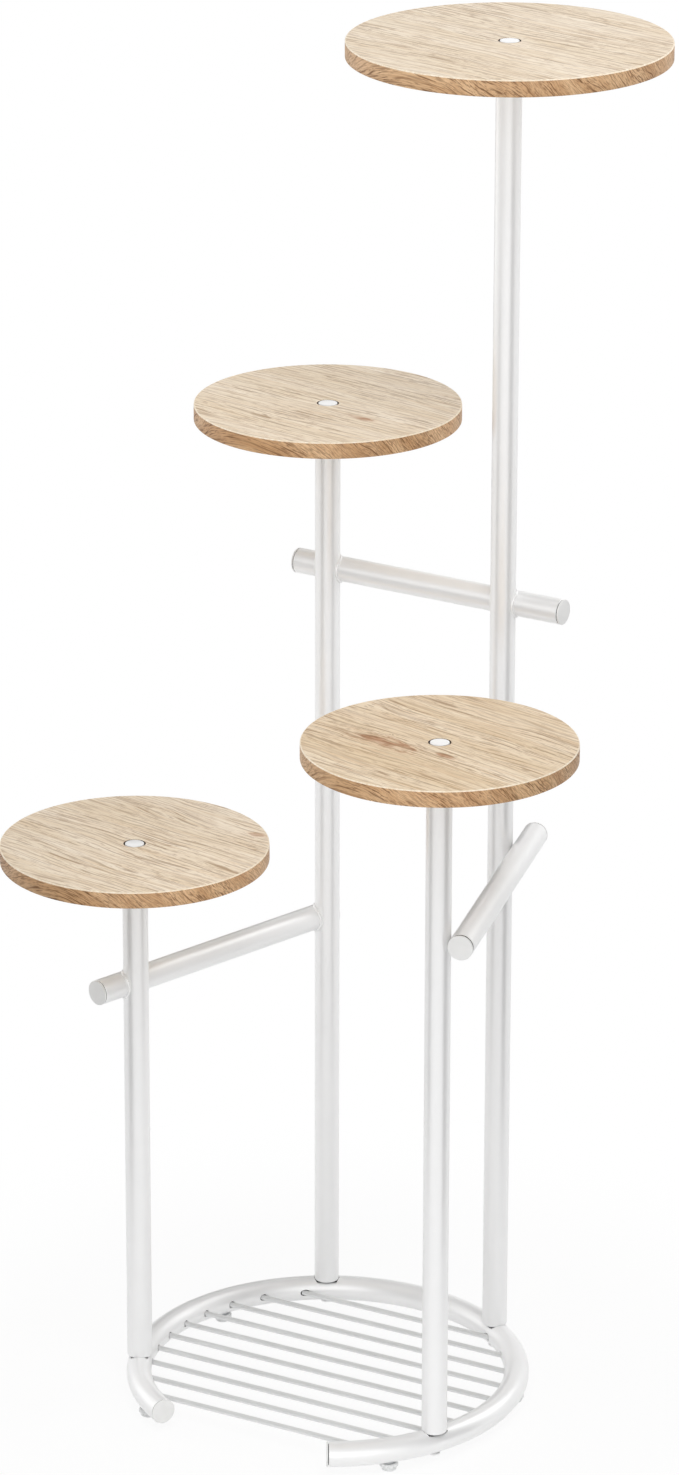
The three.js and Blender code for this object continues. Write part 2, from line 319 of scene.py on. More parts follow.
def add_screen(name, angle, distance, width, bottom, top):
    """Felt screen that faces the stand's axis and doesn't show in the picture."""
    place = from_front(angle, distance, (bottom + top) / 2)
    screen = add_panel(name, width, top - bottom, aim(place, (0, 0, place[2])), felt)
    screen.visible_camera = False


def add_softbox(name, place, width, height, power):
    """Rectangular area lamp that faces the stand."""
    data = bpy.data.lights.new(name, "AREA")
    data.shape = "RECTANGLE"
    data.size = width
    data.size_y = height
    data.energy = power
    lamp = new_object(name, data)
    lamp.matrix_world = aim(place, STAND_MIDDLE)
    return lamp


felt, felt_tree = new_material("grey_felt")
add(felt_tree, "OutputMaterial", [add(felt_tree, "BsdfDiffuse", {"Color": colour("#6A6A6A")})])
# angle, distance, width, bottom and top
add_screen("left_screen", -61, 0.55, 0.34, 0, 0.68)
add_screen("right_screen", 61, 0.55, 0.34, 0, 0.85)
add_screen("back_screen", 188, 1.5, 0.5, 0.12, 0.95)
# place, width, height and watts
add_softbox("front_softbox", (0.2, -3.4, 1.7), 3.4, 3.4, 30)
add_softbox("high_softbox", (0, -3.0, 7.2), 5.8, 5.8, 260).visible_glossy = False
add_softbox("left_rim_softbox", from_front(-118, 2.2, 1.2), 1.6, 2.2, 8)
add_softbox("right_rim_softbox", from_front(118, 2.2, 2.2), 1.6, 2.2, 18)

# %% [markdown]
# ## Mesh helpers
# Most pieces are turned (a profile spun about an upright axis) or swept (a section carried along a
# line). Both are rings of points joined by quads, so the faces stay in order and smooth shading has
# no pinches. A small bevel in each profile catches light, as a real edge does.

# %% Turned and swept meshes
def band(a, count_a, b, count_b):
    """Faces between two rings of points that start at numbers a and b: quads, or triangles where
    one ring is a single point."""
    faces = []
    for i in range(max(count_a, count_b)):
        low = (a + i % count_a, a + (i + 1) % count_a)
        high = (b + (i + 1) % count_b, b + i % count_b)
        faces.append(tuple(dict.fromkeys(low + high)))
    return faces


def turned_mesh(name, profile, sides):
    """Closed surface of revolution about Z; a profile point on the axis becomes one point."""
    points, faces, rows = [], [], []
    for radius, height in profile:
        rows.append((len(points), sides if radius else 1))
        for i in range(rows[-1][1]):
            angle = 2 * math.pi * i / sides
            points.append((radius * math.cos(angle), radius * math.sin(angle), height))
    closed = rows[0][1] > 1
    pairs = list(zip(rows, rows[1:])) + ([(rows[-1], rows[0])] if closed else [])
    for first, second in pairs:
        faces += band(*first, *second)
    mesh = bpy.data.meshes.new(name)
    mesh.from_pydata(points, [], faces)
    return mesh


def round_section(place, side, up, radius, sides):
    """Points of a circle round a place, in the plane of two directions."""
    turns = [2 * math.pi * i / sides for i in range(sides)]
    return [place + side * (radius * math.cos(a)) + up * (radius * math.sin(a)) for a in turns]


def swept_mesh(name, sections, loop):
    """Joins sections of points in a row; a loop's last one meets the first, else both ends close."""
    count, rows = len(sections[0]), len(sections)
    faces = []
    for i in range(rows if loop else rows - 1):
        faces += band(i * count, count, (i + 1) % rows * count, count)
    if not loop:
        faces += [tuple(range(count))[::-1], tuple(range((rows - 1) * count, rows * count))]
    mesh = bpy.data.meshes.new(name)
    mesh.from_pydata([point for section in sections for point in section], [], faces)
    return mesh


print("first quad between two rings of 8 points:", band(0, 8, 8, 8)[0])

# %% [markdown]
# ## Placing a piece
# A mesh becomes a piece in one place, so that all pieces are treated alike. Its faces are turned
# outwards and shaded smooth, apart from edges where the surface really turns. Then it rides on its
# body, takes its finish, and hides the solid that it stands for.

# %% Placing a piece
SHARP_ANGLE = math.radians(40)
SAME_POINT = 1e-7


def place_piece(name, mesh, material, stands_for=None, body="frame"):
    """Puts a mesh in the scene as a named piece of the stand, instead of one solid."""
    work = bmesh.new()
    work.from_mesh(mesh)
    bmesh.ops.remove_doubles(work, verts=work.verts, dist=SAME_POINT)
    bmesh.ops.recalc_face_normals(work, faces=work.faces)
    work.to_mesh(mesh)
    work.free()
    mesh.shade_smooth()
    mesh.set_sharp_from_angle(angle=SHARP_ANGLE)
    if not mesh.materials:
        mesh.materials.append(material)
    piece = new_object(name, mesh)
    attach(piece, body)
    if stands_for:
        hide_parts(stands_for)
    return piece


def over(point, height):
    """Matrix that moves to a point's place in the plan, at a height."""
    return Matrix.Translation((point.x, point.y, height))


print("an edge is sharp from", round(math.degrees(SHARP_ANGLE)), "degrees on")

# %% [markdown]
# ## White powder coat
# The tubes are steel, sprayed with white polyester powder and baked. The melted powder leaves a
# satin skin with very shallow waves, called orange peel, one or two millimetres apart. Its colour
# is almost even, so the eye reads the coat from its soft reflections. A share of metallic stands
# for the pearl flakes in the powder: it makes the tube mirror the room more than plain paint does.
# The powder lies thinner on the shelf wires, where the steel greys it a little. The heads of the
# tray bolts are enamelled, the brightest white on the stand.

# %% Powder coat
ORANGE_PEEL = 1.6
COAT_MOTTLE = 22.0


def millimetres(tree):
    """Object coordinates in millimetres; every mesh lies in the stand's own frame."""
    place = add(tree, "TexCoord", output="Object")
    return add(tree, "VectorMath", {0: place, "Scale": 1000}, operation="SCALE")


def powder_coat(name, dark, pale):
    """Satin white polyester powder on steel: soft reflections with a faint orange peel."""
    material, tree = new_material(name)
    place = millimetres(tree)
    peel = add(tree, "TexNoise", {"Vector": place, "Scale": 1 / ORANGE_PEEL})
    mottle = add(tree, "TexNoise", {"Vector": place, "Scale": 1 / COAT_MOTTLE})
    surface = add(tree, "BsdfPrincipled", {
        "Base Color": add(tree, "Mix", {0: mottle, 6: colour(dark), 7: colour(pale)}, **COLOUR_MIX),
        "Metallic": 0.3,
        "Roughness": add(tree, "MapRange", [mottle, 0, 1, 0.3, 0.36]),
        "IOR": 1.5,
        "Normal": add(tree, "Bump", {"Height": peel, "Strength": 0.15, "Distance": mm(0.1)}),
    })
    add(tree, "OutputMaterial", [surface])
    return material


white_coat = powder_coat("white_powder_coat", "#F1F1F1", "#F5F5F5")
thin_coat = powder_coat("thin_powder_coat", "#E0E1E1", "#E8E9E9")
bright_coat = powder_coat("white_bolt_enamel", "#FAFAFA", "#FDFDFD")
print("orange peel every", ORANGE_PEEL, "mm")

# %% [markdown]
# ## Moulded plastic
# The tube ends are closed with clipped-in caps, and the feet have ribbed heads to turn them by.
# Both are injection-moulded: the caps in white polyethylene, the feet in a cooler grey-white nylon.
# There is no metallic in them, so they mirror the room less than the coat does, and they have the
# fine even texture of the mould.

# %% Moulded plastics
MOULD_TEXTURE = 0.5
RESIN_CLOUD = 6.0


def moulded_plastic(name, code, roughness):
    """Injection-moulded plastic: nearly one colour, a soft gloss and the mould's fine texture."""
    material, tree = new_material(name)
    place = millimetres(tree)
    grain = add(tree, "TexNoise", {"Vector": place, "Scale": 1 / MOULD_TEXTURE})
    cloud = add(tree, "TexNoise", {"Vector": place, "Scale": 1 / RESIN_CLOUD})
    pale = colour(code)
    dark = (*[channel * 0.93 for channel in pale[:3]], 1.0)
    surface = add(tree, "BsdfPrincipled", {
        "Base Color": add(tree, "Mix", {0: cloud, 6: dark, 7: pale}, **COLOUR_MIX),
        "Roughness": add(tree, "MapRange", [grain, 0, 1, roughness - 0.06, roughness + 0.06]),
        "IOR": 1.53,
        "Normal": add(tree, "Bump", {"Height": grain, "Strength": 0.25, "Distance": mm(0.05)}),
    })
    add(tree, "OutputMaterial", [surface])
    return material


cap_plastic = moulded_plastic("white_polyethylene", "#ECECEB", 0.32)
foot_plastic = moulded_plastic("grey_white_nylon", "#EDEEEE", 0.3)
print("moulded plastics:", cap_plastic.name, foot_plastic.name)

# %% [markdown]
# ## Zinc-plated and bare steel
# The nuts inside the tubes and the inserts in the ring are steel with a bright zinc plate. Powder
# does not reach the inside of a tube, so the bore stays bare steel, dull from the mill. Its dark
# grey, which the cut tube ends and the caps' clips take too, is partly painted shade: it makes every
# gap and hole in the white frame look dark. Both are metals, with their colour in the reflections;
# small clouds change the gloss from place to place.

# %% Bare and plated steel
METAL_CLOUD = 2.5


def steel(name, dark, pale, low, high):
    """Steel from the mill or the zinc bath: reflections in two greys, cloudy from low to high."""
    material, tree = new_material(name)
    place = millimetres(tree)
    cloud = add(tree, "TexNoise", {"Vector": place, "Scale": 1 / METAL_CLOUD, "Detail": 4.0})
    surface = add(tree, "BsdfPrincipled", {
        "Base Color": add(tree, "Mix", {0: cloud, 6: colour(dark), 7: colour(pale)}, **COLOUR_MIX),
        "Metallic": 1.0,
        "Roughness": add(tree, "MapRange", [cloud, 0, 1, low, high]),
        "Normal": add(tree, "Bump", {"Height": cloud, "Strength": 0.1, "Distance": mm(0.05)}),
    })
    add(tree, "OutputMaterial", [surface])
    return material


zinc = steel("zinc_plated_steel", "#B4B7BA", "#D0D2D3", 0.28, 0.45)
# dark grey of the bores, the cut tube ends and the caps' clips: partly painted shade, which darkens every
# gap and hole
bare_steel_and_painted_shade = steel("bare_mill_steel", "#4B4C4E", "#646567", 0.5, 0.65)
print("metals:", zinc.name, bare_steel_and_painted_shade.name)

# %% [markdown]
# ## Oak grain
# The trays are board with a printed oak foil. The foil has the marks of flat-sawn oak: broad pale
# bands, fine fibres, dark hairlines and short dark pores. Most of them are noise that is stretched
# along the grain, at sizes that come from real oak. The hairlines come at a nearly even pitch, like
# growth rings, so they start from a wave, and the noise breaks them into dashes.

# %% Sheets and hairlines
WANDER_SIZE, WANDER = (150.0, 40.0), 9.0
HAIRLINE_PITCH = 4.0
HAIRLINE_STRETCH = (0.1, 1, 0.4)
BREAK_SIZE = (26.0, 2.6)


def sheets(tree, grain, size, seed, span=(0, 1), result=(0, 1), detail=2.0):
    """Noise in thin sheets. Size is their length and width in millimetres, and the part of the
    noise in the span is mapped onto the result."""
    length, width = size
    drawn = add(tree, "VectorMath", [grain, (1 / length, 1 / width, 0.15 / width)], operation="MULTIPLY")
    shift = (seed * 7.3, seed * 3.1, seed * 5.7)
    moved = add(tree, "VectorMath", [drawn, shift], operation="ADD")
    cloud = add(tree, "TexNoise", {"Vector": moved, "Scale": 1, "Detail": detail})
    return add(tree, "MapRange", [cloud, *span, *result])


def hairlines(tree, grain, seed):
    """Thin dark lines at a nearly even pitch, which waver along the grain and break into dashes."""
    along = add(tree, "VectorMath", [grain, HAIRLINE_STRETCH], operation="MULTIPLY")
    wave = add(tree, "TexWave", {
        "Vector": along,
        # a wave texture repeats every 0.1 * pi units at scale 1
        "Scale": 0.1 * math.pi / HAIRLINE_PITCH,
        "Distortion": 7.0,
        "Detail": 1.0,
        "Detail Scale": 1.4,
        "Phase Offset": seed,
    }, "Fac", bands_direction="Y")
    lines = add(tree, "MapRange", [wave, 0.72, 0.97, 0, 1])
    dashes = sheets(tree, grain, BREAK_SIZE, seed, (0.42, 0.54))
    return add(tree, "Math", [lines, dashes], operation="MULTIPLY")


print("hairlines every", HAIRLINE_PITCH, "mm, in dashes of about", BREAK_SIZE[0], "mm")

# %% [markdown]
# ## Way of the grain
# The pattern is a solid one, like wood itself, so that the lines on the face run on down the rim.
# It is worked out from a place in the board: measured from the tray's middle, turned to the grain,
# bent by a slow wander and pushed aside by the knots. The sheets of the wood lean, which makes the
# lines on the rim slant.

# %% Knots and the way of the grain
GRAIN_LEAN = math.radians(40)
KNOT_FRAY = 6.0
KNOT_PUSH = 0.6


def knot_share(tree, flat, knot):
    """1 in a knot, fading to 0 outside it, and the distance across the grain from its middle."""
    along, across, length, width = knot
    away = add(tree, "VectorMath", [flat, (along, across, 0)], operation="SUBTRACT")
    oval = add(tree, "VectorMath", [away, (1 / length, 1 / width, 0)], operation="MULTIPLY")
    reach = add(tree, "VectorMath", [oval], "Value", operation="LENGTH")
    stretched = add(tree, "VectorMath", [flat, (0.4, 1, 1)], operation="MULTIPLY")
    rough = add(tree, "TexNoise", {"Vector": stretched, "Scale": 1 / KNOT_FRAY})
    fray = add(tree, "MapRange", [rough, 0, 1, -0.7, 0.7])
    frayed = add(tree, "Math", [reach, fray], operation="ADD")
    near = add(tree, "MapRange", [frayed, 0.3, 1.2, 1, 0], interpolation_type="SMOOTHSTEP")
    return near, add(tree, "SeparateXYZ", [away], "Y")


def grain_place(tree, centre, angle, seed, knots):
    """Millimetres with X along the grain, bent round the knots, and how much of a knot is there."""
    centre_mm = [v * 1000 for v in centre]
    local = add(tree, "VectorMath", [millimetres(tree), centre_mm], operation="SUBTRACT")
    flat = add(tree, "VectorRotate", {"Vector": local, "Angle": -angle}, rotation_type="Z_AXIS")
    shift = sheets(tree, flat, WANDER_SIZE, seed + 0.5, result=(-WANDER, WANDER))
    in_knot = 0.0
    for knot in knots:
        near, across = knot_share(tree, flat, knot)
        push = add(tree, "Math", [near, across], operation="MULTIPLY")
        push = add(tree, "Math", [push, KNOT_PUSH], operation="MULTIPLY")
        shift = add(tree, "Math", [shift, push], operation="SUBTRACT")
        in_knot = add(tree, "Math", [in_knot, near], operation="MAXIMUM")
    offset = add(tree, "CombineXYZ", {"Y": shift})
    bent = add(tree, "VectorMath", [flat, offset], operation="ADD")
    lean = {"Vector": bent, "Angle": -GRAIN_LEAN}
    return add(tree, "VectorRotate", lean, rotation_type="X_AXIS"), in_knot


print("the grain wanders by", WANDER, "mm and leans by", round(math.degrees(GRAIN_LEAN)), "degrees")

# %% [markdown]
# ## Oak foil, face and rim
# The foil is built up as a printer would, from the palest tone down: bands, then fibres, then dark
# lines and short pores, which gather in patches. Real lines and pores are narrower than the camera
# can see, so they are drawn about twice as wide. The rim has the same figure in a warmer honey
# brown, finer and stronger. The face's tones are paler than the rim's partly as painted sheen: the
# soft reflection of the white room on the face is painted into its colour.

# %% Oak foil
BAND_SIZE = (190.0, 11.0)
FIBRE_SIZE = (60.0, 1.1)
LINE_SIZE = (50.0, 1.3)
PATCH_SIZE = (90.0, 16.0)
PORE_SIZE = (9.0, 0.6)
KNOT_FIGURE_SIZE = (16.0, 3.0)
KNOT_HALO, KNOT_CORE = "#D0AA86", "#A8754F"


def oak_foil(name, centre, angle, seed, knots, tones, strength, fineness=1.0):
    """Printed oak foil: satin, with darker and duller marks that are pressed in a little. Tones are
    its pale, dark, fibre and line colours, and strength is that of the lines."""
    material, tree = new_material(name)
    pale, dark, fibre_tone, line_tone = (colour(code) for code in tones)
    grain, in_knot = grain_place(tree, centre, angle, seed, knots)
    fine = add(tree, "VectorMath", [grain, [fineness] * 3], operation="MULTIPLY")
    bands = sheets(tree, grain, BAND_SIZE, seed, (0.36, 0.64), detail=4.0)
    fibres = sheets(tree, fine, FIBRE_SIZE, seed + 1, (0.42, 0.72), (0, 0.7))
    patches = sheets(tree, fine, PATCH_SIZE, seed + 2, (0.42, 0.58), (0.55, 1))
    lines = sheets(tree, fine, LINE_SIZE, seed + 3, (0.56, 0.68), (0, 0.8), 1.0)
    pores = sheets(tree, fine, PORE_SIZE, seed + 4, (0.57, 0.68), (0, 0.9), 1.0)
    marks = add(tree, "Math", [hairlines(tree, fine, seed + 6), lines], operation="MAXIMUM")
    marks = add(tree, "Math", [marks, pores], operation="MAXIMUM")
    marks = add(tree, "Math", [marks, patches], operation="MULTIPLY")
    tone = add(tree, "Mix", {0: bands, 6: pale, 7: dark}, **COLOUR_MIX)
    tone = add(tree, "Mix", {0: fibres, 6: tone, 7: fibre_tone}, **COLOUR_MIX)
    if knots:
        figure = sheets(tree, grain, KNOT_FIGURE_SIZE, seed + 5, detail=3.0)
        core = add(tree, "Math", [in_knot, figure], operation="MULTIPLY")
        core = add(tree, "MapRange", [core, 0.3, 0.56, 0, 0.85])
        halo = add(tree, "Math", [in_knot, 0.35], operation="MULTIPLY")
        tone = add(tree, "Mix", {0: halo, 6: tone, 7: colour(KNOT_HALO)}, **COLOUR_MIX)
        tone = add(tree, "Mix", {0: core, 6: tone, 7: colour(KNOT_CORE)}, **COLOUR_MIX)
    share = add(tree, "Math", [marks, strength], operation="MULTIPLY")
    surface = add(tree, "BsdfPrincipled", {
        "Base Color": add(tree, "Mix", {0: share, 6: tone, 7: line_tone}, **COLOUR_MIX),
        "Roughness": add(tree, "MapRange", [marks, 0, 1, 0.48, 0.65]),
        "IOR": 1.45,
        "Normal": add(tree, "Bump", {"Height": marks, "Strength": 0.3, "Distance": mm(-0.1)}),
    })
    add(tree, "OutputMaterial", [surface])
    return material


print("length and width in mm of pores:", PORE_SIZE, "and of lines:", LINE_SIZE)

# %% [markdown]
# ## Painted edge highlight and recess shade
# The edge between face and rim gets a pale cream line: a painted highlight, the light that the
# rounded edge catches. The recess for the bolt gets a dark brown: painted shade, so that a dark ring
# shows round the bolt's head. Both are plain and dull, with a fine grain of two tones.

# %% Painted edge highlight and recess shade
def painted_light_board(name, dark, pale, grain_size):
    """Board colour for a painted highlight or a painted shade: two tones in a fine grain, quite dull."""
    material, tree = new_material(name)
    place = millimetres(tree)
    grain = add(tree, "TexNoise", {"Vector": place, "Scale": 1 / grain_size, "Detail": 3.0})
    share = add(tree, "MapRange", [grain, 0.3, 0.7, 0, 1])
    surface = add(tree, "BsdfPrincipled", {
        "Base Color": add(tree, "Mix", {0: share, 6: colour(dark), 7: colour(pale)}, **COLOUR_MIX),
        "Roughness": 0.62,
        "IOR": 1.45,
        "Normal": add(tree, "Bump", {"Height": grain, "Strength": 0.3, "Distance": mm(0.05)}),
    })
    add(tree, "OutputMaterial", [surface])
    return material


# painted highlight: the pale line that the rounded edge of each tray catches
edge_highlight = painted_light_board("painted_edge_highlight", "#E6D2B4", "#F8EEDD", 2.0)
# painted shade: dark brown in the bolt's recess, which makes a dark ring round the head
recess_shade = painted_light_board("painted_recess_shade", "#3E3228", "#54463A", 0.8)
print("board without foil:", edge_highlight.name, recess_shade.name)

# %% [markdown]
# ## Tubes
# The frame is bent and straight tube of one size. A tube is swept along a line: rings of points
# stand at stations along it, and the same stations run back down the bore, which gives the tube a
# real wall. The first and last stations are slightly smaller: that softens the cut edge, as the coat
# does. The bore takes the dark steel grey, partly painted shade, and the cut ends take it as painted
# shade alone: it darkens the tube's openings.

# %% Tubes along a line
TUBE_WALL = mm(1.2)
TUBE_BORE = TUBE_RADIUS - TUBE_WALL
SOFT_EDGE = mm(0.3)


def tube_mesh(name, line, length, steps, sides):
    """Tube along a line; line(s) gives the point at a distance s and its two cross directions."""
    stations = [(0, TUBE_RADIUS - SOFT_EDGE), (SOFT_EDGE, TUBE_RADIUS)]
    stations += [(length * i / steps, TUBE_RADIUS) for i in range(1, steps)]
    stations += [(length - SOFT_EDGE, TUBE_RADIUS), (length, TUBE_RADIUS - SOFT_EDGE)]
    coated = (len(stations) - 1) * sides
    stations += [(length * i / steps, TUBE_BORE) for i in range(steps, -1, -1)]
    sections = [round_section(*line(distance), radius, sides) for distance, radius in stations]
    mesh = swept_mesh(name, sections, loop=True)
    mesh.materials.append(white_coat)
    # the bore and the cut ends take the dark grey, partly painted shade for the tube's openings
    mesh.materials.append(bare_steel_and_painted_shade)
    for face in mesh.polygons[coated:]:
        face.material_index = 1
    return mesh


print("tube bore in mm:", round(TUBE_BORE * 2000, 1))

# %% [markdown]
# ## Holes
# Holes are drilled as in the workshop: a closed mesh in the shape of the drill is taken away from
# the part with an exact boolean.

# %% Cutting holes
DRILL_SIDES = 48


def cut_mesh(mesh, cutters):
    """Cuts closed cutter meshes out of a mesh with an exact boolean, and applies it."""
    target = new_object("to_cut", mesh)
    tools = bpy.data.collections.new("cutters")
    bpy.context.scene.collection.children.link(tools)
    for cutter in cutters:
        tools.objects.link(bpy.data.objects.new("cutter", cutter))
    boolean = target.modifiers.new("cut", "BOOLEAN")
    boolean.operation = "DIFFERENCE"
    boolean.solver = "EXACT"
    boolean.operand_type = "COLLECTION"
    boolean.collection = tools
    cut = target.evaluated_get(bpy.context.evaluated_depsgraph_get())
    done = bpy.data.meshes.new_from_object(cut)
    done.name = mesh.name
    for cutter in list(tools.objects):
        bpy.data.objects.remove(cutter)
    bpy.data.collections.remove(tools)
    bpy.data.objects.remove(target)
    return done


def drill(centre, radius, bottom, top, sides=DRILL_SIDES):
    """Upright closed cylinder that cuts."""
    mesh = turned_mesh("drill", [(0, bottom), (radius, bottom), (radius, top), (0, top)], sides)
    mesh.transform(over(centre, 0))
    return mesh


print("holes are drilled with", DRILL_SIDES, "sides")

# %% [markdown]
# ## Base ring
# The base is one tube bent to a ring that stays open at the front left. Its crown has a flat seat
# for each post, and below each seat a hole for the post's bolt. Five wider holes take the inserts of
# the feet. The wires plug into small holes in the inner side, so their rods are drills as well.

# %% Base ring
CAP_REACH = mm(1.8)
RING_START = math.radians(-90.3) + CAP_REACH / RING_RADIUS
RING_END = math.radians(211.2) - CAP_REACH / RING_RADIUS
RING_STEPS = 150
TUBE_SIDES = 48
BOLT_HOLE = mm(3.3)
SEAT_RADIUS, SEAT_SIDES = mm(9.9), 96
INSERT_HOLE = mm(4.8)
FEET = range(1, 6)
WIRES = [f"shelf_wire_{i:02d}" for i in range(1, 11)]
WIRE_HOLE = mm(2.7)
WIRE_ANGLE = math.radians(-29)
WIRE_SIDES = 24


def ring_line(distance):
    """Point and cross directions of the ring's centre line."""
    angle = RING_START + distance / RING_RADIUS
    outward = Vector((math.cos(angle), math.sin(angle), 0))
    return on_circle(ring_centre, RING_RADIUS, angle, ring_axis), outward, Vector((0, 0, 1))


def wire_mesh(node, radius, ends_at):
    """Round rod on a wire's axis, ending where the axis is that far from the ring's centre."""
    heading = Vector((math.cos(WIRE_ANGLE), math.sin(WIRE_ANGLE), 0))
    across = Vector((-heading.y, heading.x, 0))
    flat = Vector((ring_centre.x, ring_centre.y, ring_axis))
    offset = (middle(node) - flat).dot(across)
    reach = math.sqrt(ends_at**2 - offset**2)
    ends = [flat + across * offset + heading * s for s in (-reach, reach)]
    sections = [round_section(end, across, Vector((0, 0, 1)), radius, WIRE_SIDES) for end in ends]
    return swept_mesh(node, sections, loop=False)


ring_length = (RING_END - RING_START) * RING_RADIUS
ring_mesh = tube_mesh("base_ring", ring_line, ring_length, RING_STEPS, TUBE_SIDES)
post_places = [middle("post_" + name) for name in POSTS]
seat_floor = level("post_tall", 0) - SEAM
seat_opens = ring_axis + TUBE_RADIUS + SEAM
holes = [drill(place, BOLT_HOLE, 0, ring_axis) for place in post_places]
holes += [drill(place, SEAT_RADIUS, seat_floor, seat_opens, SEAT_SIDES) for place in post_places]
holes += [drill(middle(f"foot_insert_{i}"), INSERT_HOLE, 0, ring_axis) for i in FEET]
holes += [wire_mesh(node, WIRE_HOLE, RING_RADIUS - TUBE_BORE / 2) for node in WIRES]
place_piece("ring_tube", cut_mesh(ring_mesh, holes), white_coat, "base_ring")
print("ring tube, length in mm:", round(ring_length * 1000), "holes:", len(holes))

# %% [markdown]
# ## Wire shelf
# Ten steel wires lie across the ring, plugged into the holes in its inner side. The holes are a
# little wider than the wires, so a dark crescent shows at each end, as on the real shelf.

# %% Shelf wires
WIRE_RADIUS = mm(2)
WIRE_PLUG = mm(0.6)

for node in WIRES:
    rod = wire_mesh(node, WIRE_RADIUS, RING_RADIUS - TUBE_BORE + WIRE_PLUG)
    place_piece("wire_" + node[-2:], rod, thin_coat, node)
print("wires:", len(WIRES), "of", WIRE_RADIUS * 2000, "mm")

# %% [markdown]
# ## Posts
# Each post is a straight tube, cut square. It stands in a flat seat in the crown of the ring, so
# that it can't rock, and a bolt pulls it down. The coat softens the edge of the cut, and the gap
# below it opens into the bare bores and the cut ends, whose dark grey is partly painted shade: that
# is the fine dark arc at the foot of each post.

# %% Posts
POST_SIDES = 64
# wider than on the real stand, so that it shows
POST_GAP = mm(1.3)


def build_post(name):
    """One post, standing just above its seat."""
    node = "post_" + name
    centre, foot = middle(node), level(node, 0) + POST_GAP

    def upright(distance):
        return Vector((centre.x, centre.y, foot + distance)), Vector((1, 0, 0)), Vector((0, 1, 0))

    mesh = tube_mesh(node, upright, level(node, 1) - foot, 1, POST_SIDES)
    return place_piece("post_tube_" + name, mesh, white_coat, node)


for name in POSTS:
    post = build_post(name)
    print(post.name, "is", round(post.dimensions.z * 1000), "mm long")

# %% [markdown]
# ## Tube caps
# A cap is a flat turned disc with a rounded edge, and a clip holds it in the bore. The cap stands
# a hair away from the tube. The clip takes the dark steel grey, painted shade that makes that gap
# show dark. The ring has a cap in each end.

# %% Tube caps
CAP_EDGE = mm(0.6)
CAP_SPIGOT = mm(6)
CAP_PLAY = mm(0.5)
CAP_GAP = mm(0.5)


def quarter(centre_radius, centre_height, size, first, last, steps=4):
    """Points of a round edge, given by its centre, its size and two directions in degrees."""
    turns = [math.radians(first + (last - first) * i / steps) for i in range(steps + 1)]
    return [(centre_radius + size * math.cos(a), centre_height + size * math.sin(a)) for a in turns]


def cap_mesh(name, place, direction):
    """Flat cap on its clip; place is the middle of the tube's end, which faces a direction."""
    clip = TUBE_BORE - CAP_PLAY
    profile = [(0, -CAP_SPIGOT), (clip, -CAP_SPIGOT), (clip, CAP_GAP), (TUBE_RADIUS - SOFT_EDGE, CAP_GAP)]
    profile += [(TUBE_RADIUS, CAP_GAP + SOFT_EDGE / 2)]
    profile += quarter(TUBE_RADIUS - CAP_EDGE, CAP_REACH - CAP_EDGE, CAP_EDGE, 0, 90, steps=5)
    mesh = turned_mesh(name, profile + [(0, CAP_REACH)], TUBE_SIDES)
    mesh.materials.append(cap_plastic)
    mesh.materials.append(bare_steel_and_painted_shade)
    for face in mesh.polygons:
        # the clip below the gap takes the dark steel grey: painted shade in the gap between cap and tube
        face.material_index = int(face.center.z < CAP_GAP / 2)
    turn = Vector((0, 0, 1)).rotation_difference(direction).to_matrix().to_4x4()
    mesh.transform(Matrix.Translation(place) @ turn)
    return mesh


for node, angle, side in (("ring_cap_front", RING_START, -1), ("ring_cap_left", RING_END, 1)):
    heading = angle + side * math.pi / 2
    direction = Vector((math.cos(heading), math.sin(heading), 0))
    cap = cap_mesh(node, on_circle(ring_centre, RING_RADIUS, angle, ring_axis), direction)
    place_piece("end_" + node, cap, cap_plastic, node)
print("caps stand out by", CAP_REACH * 1000, "mm")

# %% [markdown]
# ## Crossbars
# Three level tubes tie the posts in pairs. Two of them are notched round the posts: the posts bite
# into the bar by a few millimetres, which makes a stiff welded joint. The third lies against the
# side of its posts. A bar's line is worked out from the two posts it ties. At the near end of the
# third bar the cap is not pushed quite home, so a dark line shows beside it.

# %% Crossbars
NOTCH_OFFSET = mm(6.8)
TANGENT_OFFSET = 2 * TUBE_RADIUS + SEAM
LOOSE_CAP_GAP = mm(1.8)


class Bar:
    """A crossbar's place: it runs level past two posts, offset from the line between them."""

    def __init__(self, name, first, second, offset, start_reach, end_reach):
        self.name, self.offset = name, offset
        self.height = middle("crossbar_" + name).z
        self.posts = [middle("post_" + post) for post in (first, second)]
        way = (self.posts[1] - self.posts[0]).to_2d()
        self.along = Vector((way.x, way.y, 0)).normalized()
        self.left = Vector((-self.along.y, self.along.x, 0))
        foot = Vector((self.posts[0].x, self.posts[0].y, self.height))
        self.origin = foot + self.left * offset
        self.start, self.end = CAP_REACH - start_reach, way.length + end_reach - CAP_REACH


